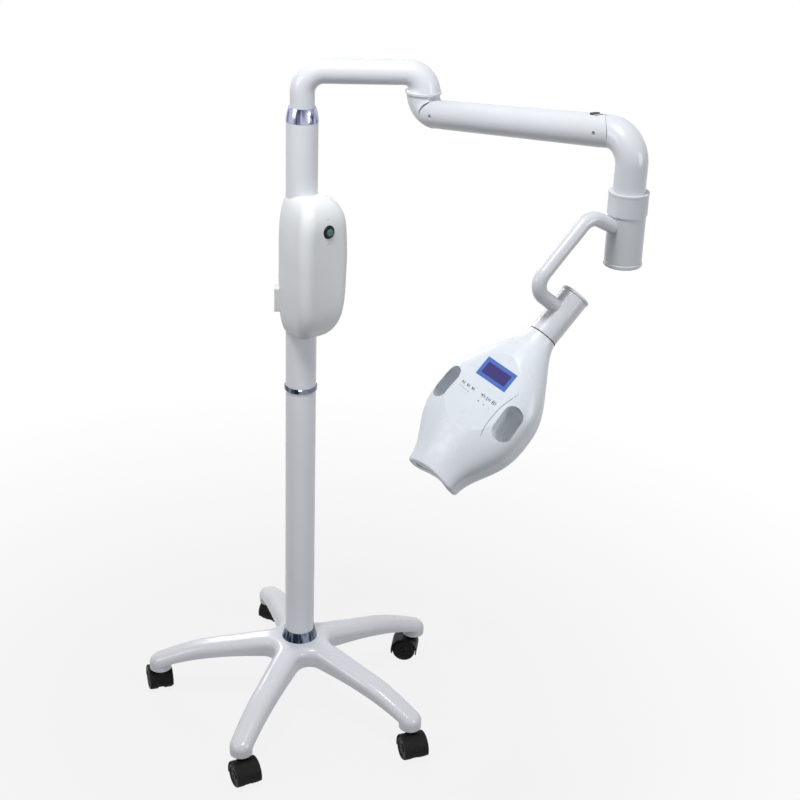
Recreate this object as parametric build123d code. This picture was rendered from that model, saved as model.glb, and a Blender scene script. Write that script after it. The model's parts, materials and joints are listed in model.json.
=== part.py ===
from build123d import *
import os
from math import acos, cos, degrees, radians, sin, sqrt, tan

os.makedirs("parts", exist_ok=True)

# A wheeled lamp stand: +Z is up, the floor is z = 0 and the column stands on the Z axis.
# +X is the way the gooseneck reaches. All lengths are millimetres, all angles degrees.

# General clearances
over = 20.0                 # how far a cutting tool runs past what it cuts
rest_gap = 0.3              # between faces of pieces that move on each other
run_gap = 0.05              # radial clearance of a shaft that turns in its bore
fit_gap = 0.1               # radial clearance of a piece that is pushed in and stays
press_gap = 0.02            # radial clearance of a pin that is pressed in

# Star base
leg_count = 5
leg_first_angle = -40.6
leg_reach = 297.0           # from the column axis to a caster stem
leg_root_width = 56.0
leg_tip_width = 46.0
web_radius = 28.0           # fillet in plan between two legs
leg_top_round = 17.0
hub_top = 158.0
hub_flat_margin = 5.2           # of flat metal round the lower collar
leg_fall_reaches_share = (0.46, 0.74, 0.945)
leg_falls = (14.0, 31.0, 54.0)
leg_end_fall = 57.0
leg_root_depth = 39.0
leg_under_reaches_share = (0.39, 0.61, 0.875)
leg_under_falls = (4.0, 12.0, 31.0)
leg_under_end_fall = 53.0
leg_side_wall = 7.0
leg_top_wall = 9.0
boss_bottom = 62.0
boss_radius = 22.8
boss_clearance = 0.5        # of metal left round a caster boss
socket_wall = 6.0
socket_depth = 46.0
socket_floor = 8.0
start_slope_share = 1.0
end_slope_share = 0.55

# Fixing bolt of the column
bolt_radius = 5.0
bolt_head_radius = 8.5
bolt_head_height = 6.5
bolt_length = 26.0
washer_radius = 15.0
washer_thickness = 2.0
column_foot_thickness = 14.0

# Casters
wheel_radius = 25.0
wheel_width = 20.0
wheel_round = 4.0
wheel_round_steps = 3
wheel_dish_radius = 19.0
wheel_dish_depth = 2.0
wheel_cap_radius = 8.0
wheel_web_gap = 1.0
hood_web = 8.0
hood_gap = 1.5              # between the tread and the hood over it
hood_wall = 2.5
hood_low = 17.0
hood_round = 2.0
caster_trail = 18.0
caster_neck_radius = 9.0
caster_neck_gap = 0.4
axle_radius = 3.0
axle_recess = 2.4
stem_radius = 5.5
stem_foot_radius = 4.8
stem_flange_radius = 8.0
stem_flange = 1.2
stem_foot_length = 15.0
stem_length = 22.0
sleeve_wall = 1.6
sleeve_length = 24.0
caster_turns = (-72.0, 170.0, 55.0, 105.0, -65.0)
caster_order_angles = (-40.6, 31.4, 103.4, 175.4, 247.4)

# Column
column_radius = 30.0
column_wall = 1.5
lower_column_length = 581.0     # from the hub top to the middle joint
upper_column_length = 531.8
lower_collar_foot_wall = 6.8
lower_collar_top_wall = 1.6
lower_collar_height = 19.5
joiner_wall = 3.0
joiner_length = 180.0
mid_ring_wall = 2.4
mid_ring_height = 9.6
mid_ring_edge_share = 0.6
top_collar_overhang = 0.6
top_collar_rim = 1.85
top_collar_belly = 1.0
top_collar_height = 26.0
bush_length = 90.0
bush_lip = 4.0

# Gooseneck and its elbow
neck_radius = 23.0
neck_wall = 1.5
neck_rise = 92.0                # from the column's end to the level run's axis
neck_bend = 40.0
neck_reach = 220.0
spigot_length = 20.0
elbow_mouth_radius = 31.0
elbow_throat = 2.0              # of the upper elbow's inner bend
elbow_flange_edge = 2.4
elbow_flange = 3.5
elbow_steps = 4
spindle_radius = 10.0
spindle_up = 20.0
spindle_down = 24.0

# Balance arm
arm_azimuth = -49.7
arm_rise = 8.0
arm_near_radius = 26.0
arm_far_radius = 27.5
lower_throat = 1.5
near_pivot_run = 6.5            # from the lower elbow's bend to the near pivot
arm_pivot_span = 385.5
far_pivot_run = 11.0            # from the far pivot to the end elbow's bend
tongue_width = 22.0
knuckle_slack = 0.4             # ears and tongues lie this much inside the tube's outline
knuckle_gap = 1.0               # round the ears and tongues
tongue_neck_cut = 3.5
tongue_back = 12.0
tongue_root = 6.0
arm_pin_radius = 4.0
arm_pin_recess = 4.0
near_sleeve_length = 24.0       # from the near pivot to the tube's rim
far_sleeve_length = 28.0
yoke_spigot = 26.0
arm_tube_wall = 3.0
yoke_bore_radius = 17.5
rod_radius = 3.0
rod_offset = 13.0
rod_eye_radius = 5.0
rod_eye_width = 5.0
rod_pin_radius = 2.0
rod_far_slack = 0.5
rod_slot_gap = 1.0
rod_travel = 38.0            # degrees that the slots let the rod dip
pivot_boss_radius = 7.0
spring_radius = 10.0
spring_bore_radius = 7.4
spring_inset = 8.0
plug_radius = 5.0
plug_depth = 4.0
plug_proud = 0.6
plug_place = 14.0               # from the far yoke's rim

# End elbow and wrist
end_bend = 45.0
down_radius = 27.0
down_length = 82.4              # from the end of the bend to the foot of the collar
wrist_collar_radius = 33.3
wrist_collar_height = 38.0
collar_lip = 3.0
collar_lip_proud = 0.5
wrist_sleeve_radius = 31.5
wrist_sleeve_length = 81.0
wrist_cap_radius = 32.5
wrist_cap_height = 8.0
cap_plug = 6.0
cap_round = 2.5
wrist_spindle_radius = 12.0
wrist_spindle_up = 30.0
wrist_nut_radius = 18.0
wrist_nut_height = 9.0
wrist_well_radius = 20.0
wrist_well_depth = 16.0

# Link and its knuckle, drawn in the upright plane through the wrist axis
head_azimuth = 210.0
link_radius = 12.3
stub_root = 22.0
stub_clear = 1.0                # of the link's root under the collar
stub_length = 63.7
stub_rise = 27.1
link_run = 152.2
link_slope = 43.9
link_return = 86.0
return_slope = 38.1
stub_bend = 30.0
return_bend = 27.0
knuckle_radius = 25.0
knuckle_wall = 3.5
knuckle_up = 36.0               # from the link's entry to the cap's face
knuckle_down = 52.0
knuckle_cap_radius = 26.0
knuckle_cap_height = 6.0
knuckle_bearing = 24.0
head_slope = 43.5
head_spindle_radius = 9.0
head_nut_radius = 14.0
head_nut_height = 7.0
head_spindle_in = 16.0
joint_washer_height = 1.6
joint_washer_proud = 0.3

# Lamp head: s runs from the knuckle to the mouth, t across, n out of the panel
head_roll = 18.0
head_length = 303.0
head_half_width = 93.0
head_front_height = 47.0
head_rear_depth = 43.0
head_wall = 2.6
head_s_share = (0.0, 0.06, 0.12, 0.243, 0.367, 0.50, 0.633, 0.75, 0.85, 0.933, 1.0)
head_width_share = (0.269, 0.335, 0.45, 0.71, 0.925, 1.0, 0.978, 0.845, 0.655, 0.548, 0.54)
head_front_share = (0.532, 0.585, 0.70, 0.925, 1.0, 1.0, 0.93, 0.76, 0.605, 0.515, 0.47)
head_rear_share = (0.61, 0.62, 0.65, 0.76, 0.88, 0.97, 1.0, 1.0, 0.98, 0.93, 0.88)
head_power_share = (2.0, 2.05, 2.15, 2.3, 2.4, 2.4, 2.4, 2.4, 2.4, 2.4, 2.4)
head_rear_power_share = (2.0, 2.05, 2.2, 2.6, 3.4, 4.4, 4.6, 4.4, 4.0, 3.6, 3.4)
head_section_points = 20
panel_sink = 5.8                # of the flat panel under the head's full height
mouth_sag = 12.0
mouth_half_width = 54.0
mouth_wall = 5.0
mouth_round = 6.0
mouth_window_width = 68.0
mouth_window_height = 22.0
lens_recess = 1.0
lens_thickness = 2.6
lens_gap = 0.2
grip_place = 158.0
grip_edge = 9.0                 # from the head's widest side to a finger hole
grip_length = 62.0
grip_width = 31.0
grip_splay = 3.0
grip_wall = 2.4
screen_place = 103.0
screen_length = 34.5
screen_width = 64.0
screen_thickness = 2.2
screen_seat = 1.2
key_count = 3
key_place = 144.0
key_first_offset = 4.0
key_pitch = 12.0
key_radius = 3.4
key_hole_gap = 0.35
key_proud = 0.6
key_flange_radius = 4.8
key_flange = 1.2
light_first_offset = -40.0
light_pitch = 10.8
light_length = 5.0
light_width = 2.2
light_lean = 20.0
light_proud = 0.3
light_foot = 1.6
board_drop = 7.5
board_thickness = 1.6
board_length = 66.0
board_width = 66.0
board_place = 154.0
post_radius = 2.6
post_inset = 4.0
led_board_length = 1.6
led_board_height = 26.0
led_board_gap = 5.0
led_radius = 2.4
led_height = 1.8
led_columns = 6
led_rows = 2
led_pitch = 10.0
sink_length = 34.0
sink_base = 5.0
sink_fin = 2.0
sink_fin_count = 7
sink_post_fins = 2
vent_count = 5
vent_place = 196.0
vent_pitch = 8.0
vent_length = 44.0
vent_width = 3.0

# Power box on the upper column
box_azimuth = -52.0
box_bottom = 115.0              # above the middle joint
box_height = 281.5
box_half_width = 55.0
box_depth = 82.0                # from the column axis to the front face
box_back_cover = 13.0            # from the column out to the back of the box
box_corner_radius = 22.0
box_wall = 2.6
box_z_share = (0.0, 0.032, 0.092, 0.177, 0.32, 0.518, 0.681, 0.822, 0.911, 0.972, 1.0)
box_width_share = (0.41, 0.63, 0.80, 0.91, 0.98, 1.0, 1.0, 0.945, 0.835, 0.65, 0.41)
box_depth_share = (0.42, 0.635, 0.805, 0.915, 0.976, 1.0, 1.0, 0.995, 0.93, 0.77, 0.50)
box_back_share = (0.60, 0.775, 0.90, 0.963, 1.0, 1.0, 1.0, 0.95, 0.85, 0.70, 0.50)
box_corner_share = (0.62, 0.80, 0.90, 0.95, 1.0, 1.0, 1.0, 1.0, 0.95, 0.80, 0.55)
box_bore_gap = 0.2
box_sleeve = 2.6
box_vent_count = 6
box_vent_place = 154.0          # above the box's foot
box_vent_pitch = 9.0
box_vent_length = 34.0
box_vent_width = 3.5
switch_place = 225.0            # above the box's foot
bezel_radius = 11.0
bezel_proud = 2.4
bezel_seat = 0.6
bezel_round = 1.2
bezel_barrel_radius = 9.0
bezel_barrel = 16.0
button_radius = 7.0
button_gap = 0.35
button_proud = 2.0
button_length = 12.0
button_round = 1.0
button_travel = 2.0
inlet_place = 70.0
inlet_width = 27.0
inlet_height = 48.0
inlet_proud = 8.5
inlet_depth = 14.5
inlet_round = 3.0
socket_width = 17.0
socket_height = 24.0
socket_drop = 10.0
socket_recess = 10.5
prong_length = 5.0
prong_width = 4.0
prong_thickness = 2.0
prong_pitch = 7.0
prong_rise = 4.0
fuse_height = 15.0
fuse_width = 20.0
fuse_groove = 0.8
power_core_width = 56.0
power_core_depth = 38.0
power_core_height = 70.0
power_core_place = 108.0
power_core_gap = 0.2

# Places worked out from the sizes
panel_height = head_front_height - panel_sink
grip_offset = head_half_width - grip_edge - grip_width / 2
box_back_radius = column_radius + box_back_cover
sink_fin_pitch = (mouth_window_width - sink_fin) / (sink_fin_count - 1)
column_foot = hub_top - socket_depth
mid_joint = hub_top + lower_column_length - mid_ring_height / 2
column_end = mid_joint + upper_column_length
neck_axis = column_end + neck_rise
upper_bend = elbow_mouth_radius + elbow_throat
lower_bend = elbow_mouth_radius + lower_throat
hub_flat_radius = column_radius + lower_collar_foot_wall + hub_flat_margin
elbow_top = neck_axis - upper_bend
elbow_foot = elbow_top - elbow_flange - rest_gap
lower_turn = 90.0 + arm_rise
lower_reach = lower_bend * tan(radians(lower_turn) / 2)
near_pivot_offset = lower_reach + near_pivot_run
arm_origin_height = elbow_foot - lower_reach
end_reach = end_bend * tan(radians(lower_turn) / 2)
far_pivot_offset = end_reach + far_pivot_run

arm_way = Vector(
    cos(radians(arm_azimuth)) * cos(radians(arm_rise)),
    sin(radians(arm_azimuth)) * cos(radians(arm_rise)),
    sin(radians(arm_rise)),
)
arm_side = Vector(-sin(radians(arm_azimuth)), cos(radians(arm_azimuth)), 0)
arm_origin = Vector(neck_reach, 0, arm_origin_height)
near_pivot = arm_origin + arm_way * near_pivot_offset
far_pivot = near_pivot + arm_way * arm_pivot_span
wrist_top = far_pivot + arm_way * far_pivot_offset
collar_foot = wrist_top.Z - end_reach - down_length
sleeve_foot = collar_foot - rest_gap - wrist_sleeve_length

arm_frame = Plane(origin=near_pivot, x_dir=arm_way, z_dir=arm_way.cross(arm_side))
far_frame = Plane(origin=far_pivot, x_dir=arm_way, z_dir=arm_way.cross(arm_side))

head_out = Vector(cos(radians(head_azimuth)), sin(radians(head_azimuth)), 0)
link_plane = Plane(
    origin=(wrist_top.X, wrist_top.Y, sleeve_foot),
    x_dir=head_out,
    z_dir=head_out.cross(Vector(0, 0, 1)),
)


def in_link_plane(reach, height):
    """A point of the link's plane: reach from the wrist axis, height over the sleeve's foot."""
    return link_plane.from_local_coords(Vector(reach, height, 0))


def stepped(start, length, angle):
    """The point at a length and an angle from a start, in the link's plane."""
    return (start[0] + length * cos(radians(angle)), start[1] + length * sin(radians(angle)))


stub_half = link_radius / cos(radians(stub_rise))
stub_climb = (wrist_collar_radius - stub_root) * tan(radians(stub_rise))
link_root = (stub_root, wrist_sleeve_length - stub_clear - stub_half - stub_climb)
link_bend_one = stepped(link_root, stub_length, stub_rise)
link_bend_two = stepped(link_bend_one, link_run, -link_slope)
link_entry = stepped(link_bend_two, link_return, 180.0 + return_slope)
knuckle_top = stepped(link_entry, -knuckle_up, -head_slope)
head_joint = stepped(link_entry, knuckle_down, -head_slope)

head_way = (head_out * cos(radians(head_slope))) - Vector(0, 0, sin(radians(head_slope)))
head_up = (head_out * sin(radians(head_slope))) + Vector(0, 0, cos(radians(head_slope)))
head_across = head_up.cross(head_way)
panel_way = head_up * cos(radians(head_roll)) + head_across * sin(radians(head_roll))
knuckle_frame = Plane(origin=in_link_plane(*knuckle_top), x_dir=head_way, z_dir=head_up)
head_frame = Plane(origin=in_link_plane(*head_joint), x_dir=head_way, z_dir=panel_way)

box_way = Vector(cos(radians(box_azimuth)), sin(radians(box_azimuth)), 0)
box_foot = mid_joint + box_bottom
box_frame = Plane(origin=(0, 0, box_foot), x_dir=Vector(0, 0, 1).cross(box_way) * -1, z_dir=(0, 0, 1))


def rod(radius, low, high):
    """An upright round bar between two heights."""
    return Pos(0, 0, low) * Cylinder(radius, high - low, align=(Align.CENTER, Align.CENTER, Align.MIN))


def ring(outer, inner, low, high):
    """An upright tube between two heights."""
    return rod(outer, low, high) - rod(inner, low - over, high + over)


def bar_x(radius, low, high):
    """A round bar along X between two places."""
    return Rot(0, 90, 0) * rod(radius, low, high)


def bar_y(radius, low, high):
    """A round bar along Y between two places."""
    return Rot(-90, 0, 0) * rod(radius, low, high)


def block(x_low, x_high, y_low, y_high, z_low, z_high):
    """A box between two corners."""
    size = (x_high - x_low, y_high - y_low, z_high - z_low)
    middle = ((x_high + x_low) / 2, (y_high + y_low) / 2, (z_high + z_low) / 2)
    return Pos(*middle) * Box(*size)


def bent_bar(start, way, toward, turn, bend, first_radius, last_radius):
    """A round elbow whose radius goes evenly from one end to the other."""
    centre = start + toward * bend
    sections = []
    for step in range(elbow_steps + 1):
        share = step / elbow_steps
        angle = radians(turn) * share
        place = centre - toward * (bend * cos(angle)) + way * (bend * sin(angle))
        ahead = way * cos(angle) + toward * sin(angle)
        radius = first_radius + (last_radius - first_radius) * share
        sections.append(Plane(origin=place, x_dir=way.cross(toward), z_dir=ahead) * Circle(radius))
    return loft(sections)


def leg_plan(root_width, tip_width):
    """One leg seen from above, with a round end at the caster."""
    sides = Polygon(
        (0, -root_width / 2),
        (leg_reach, -tip_width / 2),
        (leg_reach, tip_width / 2),
        (0, root_width / 2),
        align=None,
    )
    return sides + Pos(leg_reach, 0) * Circle(tip_width / 2)


def star_plan(root_width, tip_width, crotch):
    """All the legs from above, with the corners between them rounded."""
    plan = Sketch()
    for number in range(leg_count):
        turn = leg_first_angle + number * 360 / leg_count
        plan += Rot(0, 0, turn) * leg_plan(root_width, tip_width)
    inner = [v for v in plan.vertices() if Vector(v.X, v.Y, 0).length < leg_reach / 2]
    return fillet(inner, crotch)


def leg_top_line(drop):
    """The falling top line of a leg, as points from the hub outward."""
    reaches = [share * leg_reach for share in leg_fall_reaches_share]
    points = [(hub_flat_radius, hub_top - drop)]
    for reach, fall in zip(reaches, leg_falls):
        points.append((reach, hub_top - fall - drop))
    points.append((leg_reach + leg_tip_width, hub_top - leg_end_fall - leg_falls[-1] / 2 - drop))
    return points


def star_base():
    """The five-legged base, hollow from below, with the column socket and the caster bosses."""
    top = [(r, 0, z) for r, z in leg_top_line(0)]
    end_reach_out = top[-1][0]
    under = [(hub_flat_radius, 0, hub_top - leg_root_depth)]
    for share, fall in zip(leg_under_reaches_share, leg_under_falls):
        under.append((share * leg_reach, 0, hub_top - leg_root_depth - fall))
    under.append((end_reach_out, 0, hub_top - leg_root_depth - leg_under_end_fall - leg_top_wall * 2))
    top_curve = Spline(*top, tangents=[(start_slope_share, 0, 0), (start_slope_share, 0, -end_slope_share)])
    under_curve = Spline(*reversed(under))
    outline = make_face([
        Line((0, 0, under[0][2]), (0, 0, hub_top)),
        Line((0, 0, hub_top), top[0]),
        top_curve,
        Line(top[-1], under[-1]),
        under_curve,
        Line(under[0], (0, 0, under[0][2])),
    ])
    side = revolve(outline, Axis.Z)
    plan = extrude(star_plan(leg_root_width, leg_tip_width, web_radius), hub_top + over)
    body = plan & side
    for angle in leg_angles():
        boss = rod(boss_radius, boss_bottom, leg_boss_top())
        body += Rot(0, 0, angle) * Pos(leg_reach, 0, 0) * boss
    body = fillet(leg_top_edges(body), leg_top_round)
    body -= leg_hollow()
    body += rod(column_radius + fit_gap + socket_wall, column_foot - socket_floor, hub_top)
    body -= rod(column_radius + fit_gap, column_foot, hub_top + over)
    body -= rod(bolt_radius + fit_gap, boss_bottom, hub_top)
    for angle in leg_angles():
        bore = rod(stem_radius + fit_gap + sleeve_wall, boss_bottom - over, boss_bottom + sleeve_length)
        body -= Rot(0, 0, angle) * Pos(leg_reach, 0, 0) * bore
    return body


def leg_angles():
    return [leg_first_angle + number * 360 / leg_count for number in range(leg_count)]


def leg_boss_top():
    """The height inside the leg that the caster boss runs up to."""
    return hub_top - leg_end_fall - leg_falls[-1] / 2 + leg_top_wall


def leg_top_edges(body):
    """The long edges between a leg's top and its sides."""
    chosen = []
    for edge in body.edges():
        middle = edge.position_at(0.5)
        reach = Vector(middle.X, middle.Y, 0).length
        along = [(0.0, hub_top)] + leg_top_line(0)
        if reach < hub_flat_radius or edge.geom_type == GeomType.LINE:
            continue
        for (r_low, z_low), (r_high, z_high) in zip(along, along[1:]):
            if r_low <= reach <= r_high:
                height = z_low + (z_high - z_low) * (reach - r_low) / (r_high - r_low)
                if abs(middle.Z - height) < leg_top_wall:
                    chosen.append(edge)
                break
    return chosen


def leg_hollow():
    """The open space under the legs."""
    inner = star_plan(
        leg_root_width - 2 * leg_side_wall,
        leg_tip_width - 2 * leg_side_wall,
        web_radius + leg_side_wall,
    )
    top = [(r, 0, z) for r, z in leg_top_line(leg_top_wall)]
    roof = Spline(*top, tangents=[(start_slope_share, 0, 0), (start_slope_share, 0, -end_slope_share)])
    outline = make_face([
        Line((0, 0, 0), (0, 0, top[0][2])),
        Line((0, 0, top[0][2]), top[0]),
        roof,
        Line(top[-1], (top[-1][0], 0, 0)),
        Line((top[-1][0], 0, 0), (0, 0, 0)),
    ])
    space = extrude(inner, hub_top) & revolve(outline, Axis.Z)
    for angle in leg_angles():
        solid_tip = rod(boss_radius + boss_clearance, -over, hub_top)
        space -= Rot(0, 0, angle) * Pos(leg_reach, 0, 0) * solid_tip
    return space


def base_bolt():
    """The bolt that holds the column down from below, and its washer."""
    head_top = column_foot - socket_floor - washer_thickness
    shank = rod(bolt_radius, head_top - bolt_head_height / 2, head_top + bolt_length)
    hexagon = Pos(0, 0, head_top - bolt_head_height) * extrude(
        RegularPolygon(bolt_head_radius, 6), bolt_head_height
    )
    disc = ring(washer_radius, bolt_radius + fit_gap, head_top, head_top + washer_thickness)
    return Compound(children=[shank + hexagon, disc])


def caster_sleeves():
    """The liner in each leg that grips a caster's stem."""
    liners = []
    for angle in leg_angles():
        liner = ring(stem_radius + fit_gap / 2 + sleeve_wall, stem_radius + press_gap,
                     boss_bottom, boss_bottom + sleeve_length)
        liners.append(Rot(0, 0, angle) * Pos(leg_reach, 0, 0) * liner)
    return Compound(children=liners)


def stem_foot_height():
    return boss_bottom - stem_flange - stem_foot_length


def caster_stems():
    """The steel stems that stand in the legs and that the casters swivel on."""
    stems = []
    for angle in leg_angles():
        stem = rod(stem_radius, boss_bottom - stem_flange, boss_bottom + stem_length)
        stem += rod(stem_flange_radius, boss_bottom - stem_flange, boss_bottom)
        stem += rod(stem_foot_radius, stem_foot_height(), boss_bottom - stem_flange)
        stems.append(Rot(0, 0, angle) * Pos(leg_reach, 0, 0) * stem)
    return Compound(children=stems)


def caster_place(number):
    """The frame of one caster: its stem on Z, its wheels trailing along X."""
    angle = radians(caster_order_angles[number])
    return Pos(leg_reach * cos(angle), leg_reach * sin(angle), 0) * Rot(0, 0, caster_turns[number])


def caster_hood():
    """The swivelling hood: a web between the wheels, a cover over them and a neck."""
    half = hood_web / 2 + wheel_web_gap + wheel_width
    cover_radius = wheel_radius + hood_gap + hood_wall
    cover = Pos(caster_trail, 0, wheel_radius) * bar_y(cover_radius, -half, half)
    cover = fillet(cover.edges().filter_by(GeomType.CIRCLE), hood_round)
    cover &= block(-over * 4, over * 4, -half - over, half + over, hood_low, hub_top)
    neck_top = boss_bottom - stem_flange - caster_neck_gap
    cover += rod(caster_neck_radius, wheel_radius, neck_top)
    for side in (-1, 1):
        low = min(side * hood_web / 2, side * (half + over))
        high = max(side * hood_web / 2, side * (half + over))
        space = bar_y(wheel_radius + hood_gap, low, high)
        cover -= Pos(caster_trail, 0, wheel_radius) * space
    cover -= rod(stem_foot_radius + run_gap, stem_foot_height() - rest_gap, neck_top + over)
    cover -= Pos(caster_trail, 0, wheel_radius) * bar_y(axle_radius + run_gap, -half, half)
    return cover


def caster_wheels():
    """Two wheels pressed on one axle."""
    inner = hood_web / 2 + wheel_web_gap
    outer = inner + wheel_width
    corner = []
    for step in range(wheel_round_steps + 1):
        angle = radians(90) * step / wheel_round_steps
        corner.append((wheel_round * (1 - cos(angle)), wheel_round * (1 - sin(angle))))
    rim = [(wheel_radius - inset, inner + along) for inset, along in reversed(corner)]
    rim += [(wheel_radius - inset, outer - along) for inset, along in corner]
    profile = Polygon(
        (axle_radius + press_gap, inner),
        *rim,
        (wheel_dish_radius, outer),
        (wheel_dish_radius - wheel_dish_depth, outer - wheel_dish_depth),
        (wheel_cap_radius + wheel_dish_depth, outer - wheel_dish_depth),
        (wheel_cap_radius, outer),
        (axle_radius + press_gap, outer),
        align=None,
    )
    wheel = revolve(profile, Axis.Y)
    axle = bar_y(axle_radius, -(outer - axle_recess), outer - axle_recess)
    place = Pos(caster_trail, 0, wheel_radius)
    return Compound(children=[place * wheel, place * Rot(180, 0, 0) * wheel, place * axle])


def lower_collar():
    """The chrome cone where the column meets the base."""
    low = hub_top
    high = hub_top + lower_collar_height
    inner = column_radius + fit_gap
    foot = column_radius + lower_collar_foot_wall
    top = column_radius + lower_collar_top_wall
    profile = make_face([
        Line((inner, 0, low), (foot, 0, low)),
        Line((foot, 0, low), (top, 0, high)),
        Line((top, 0, high), (inner, 0, high)),
        Line((inner, 0, high), (inner, 0, low)),
    ])
    return revolve(profile, Axis.Z)


def lower_column():
    """The lower tube, with the threaded foot that the base bolt pulls down."""
    tube = ring(column_radius, column_radius - column_wall, column_foot, mid_joint)
    foot = rod(column_radius - column_wall / 2, column_foot, column_foot + column_foot_thickness)
    return tube + foot - rod(bolt_radius + press_gap, 0, mid_joint)


def upper_column():
    return ring(column_radius, column_radius - column_wall, mid_joint, column_end)


def column_joiner():
    """The inner tube that lines the two column halves up."""
    outer = column_radius - column_wall - fit_gap
    low = mid_joint - joiner_length / 2
    return ring(outer, outer - joiner_wall, low, low + joiner_length)


def mid_ring():
    """The chrome ring over the joint of the column halves."""
    low = mid_joint - mid_ring_height / 2
    band = ring(column_radius + mid_ring_wall, column_radius + fit_gap, low, low + mid_ring_height)
    rims = [e for e in band.edges().filter_by(GeomType.CIRCLE) if e.radius > column_radius + 2 * fit_gap]
    return chamfer(rims, (mid_ring_wall - fit_gap) * mid_ring_edge_share)


def top_collar():
    """The chrome cap that closes the column round the gooseneck."""
    inner = neck_radius + rest_gap + fit_gap / 2
    high = column_end + top_collar_height
    foot = column_radius + top_collar_overhang
    rim = inner + top_collar_rim
    belly = (foot + rim) / 2 + top_collar_belly
    side = ThreePointArc(
        (foot, 0, column_end),
        (belly, 0, column_end + top_collar_height / 2),
        (rim, 0, high),
    )
    profile = make_face([
        Line((inner, 0, column_end), (foot, 0, column_end)),
        side,
        Line((rim, 0, high), (inner, 0, high)),
        Line((inner, 0, high), (inner, 0, column_end)),
    ])
    return revolve(profile, Axis.Z)


def swivel_bush():
    """The plain bearing in the column's end that the gooseneck turns in."""
    outer = column_radius - column_wall - fit_gap
    low = column_end - bush_length
    sleeve = ring(outer, neck_radius + run_gap, low, column_end)
    return sleeve + ring(outer, neck_radius - bush_lip, low, low + bush_lip)


def gooseneck_pipe():
    """The bent steel tube from the column to the upper elbow."""
    start = column_end - bush_length + bush_lip + rest_gap
    end = neck_reach - upper_bend
    path = FilletPolyline((0, 0, start), (0, 0, neck_axis), (end, 0, neck_axis), radius=neck_bend)
    section = Plane(origin=(0, 0, start), z_dir=(0, 0, 1)) * (Circle(neck_radius) - Circle(neck_radius - neck_wall))
    return sweep(section, path=path)


def upper_elbow():
    """The moulded elbow that turns from the gooseneck down to the first swivel."""
    start = Vector(neck_reach - upper_bend, 0, neck_axis)
    body = bent_bar(start, Vector(1, 0, 0), Vector(0, 0, -1), 90.0, upper_bend,
                    neck_radius, elbow_mouth_radius)
    spigot_radius = neck_radius - neck_wall - fit_gap
    body += Pos(0, 0, neck_axis) * bar_x(spigot_radius, start.X - spigot_length, start.X + neck_wall)
    flange = rod(elbow_mouth_radius + elbow_flange_edge, elbow_top - elbow_flange, elbow_top)
    body += Pos(neck_reach, 0, 0) * flange
    bore = rod(spindle_radius + press_gap, elbow_top - over, elbow_top + spindle_up)
    return body - Pos(neck_reach, 0, 0) * bore


def elbow_spindle():
    """The steel pin of the first swivel, fast in the upper elbow."""
    return Pos(neck_reach, 0, 0) * rod(spindle_radius, elbow_foot - spindle_down, elbow_top + spindle_up)


def tongue_plate(radius, side):
    """The middle plate of a knuckle, on its pivot at the origin, with its back on one side of it."""
    half = tongue_width / 2
    disc = bar_y(radius - knuckle_slack, -half, half)
    far = side * (tongue_back + tongue_root)
    height = radius - tongue_neck_cut
    neck = block(min(0, far), max(0, far), -half, half, -height, height)
    outline = bar_x(radius - knuckle_slack, -radius - tongue_back, radius + tongue_back)
    plate = (disc & outline) + neck
    plate -= bar_y(arm_pin_radius + run_gap, -half - over, half + over)
    return plate


def rod_slot(side):
    """The slot in a tongue that the levelling rod swings in, without its pin and the pivot's boss."""
    half = rod_eye_width / 2 + rod_slot_gap
    back = side * (rod_eye_radius + rod_slot_gap)
    front = -side * (arm_near_radius + over)
    high = arm_far_radius + over
    slot = block(min(back, front), max(back, front), -half, half, -rod_slot_gap, high)
    dip = block(min(0, front), max(0, front), -half, half, -rod_radius - rod_slot_gap, high)
    slot += Pos(0, 0, rod_offset) * Rot(0, -side * rod_travel, 0) * dip
    slot -= bar_y(pivot_boss_radius, -half, half)
    slot -= Pos(0, 0, rod_offset) * bar_y(rod_pin_radius, -half, half)
    return slot


def ear_space(radius, side):
    """The space that a knuckle's ears turn in, cut out of the elbow on both sides of its tongue."""
    half = tongue_width / 2
    disc = radius + knuckle_gap - knuckle_slack
    space = bar_y(disc, half, radius + over) + bar_y(disc, -radius - over, -half)
    return space


def lower_elbow():
    """The elbow under the first swivel, which carries the balance arm on its tongue."""
    toward = Vector(arm_way.X, arm_way.Y, 0).normalized()
    start = Vector(neck_reach, 0, elbow_foot)
    body = bent_bar(start, Vector(0, 0, -1), toward, lower_turn, lower_bend,
                    elbow_mouth_radius, arm_near_radius)
    keep_from = -(arm_near_radius + near_pivot_offset + elbow_mouth_radius + over)
    wide = elbow_mouth_radius * 3
    body &= arm_frame * block(keep_from * 2, -tongue_back, -wide, wide, -wide, wide)
    body -= arm_frame * ear_space(arm_near_radius, -1)
    body += arm_frame * tongue_plate(arm_near_radius, -1)
    body -= arm_frame * rod_slot(-1)
    bore = rod(spindle_radius + run_gap, elbow_foot - spindle_down - rest_gap, elbow_foot + over)
    return body - Pos(neck_reach, 0, 0) * bore


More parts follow.
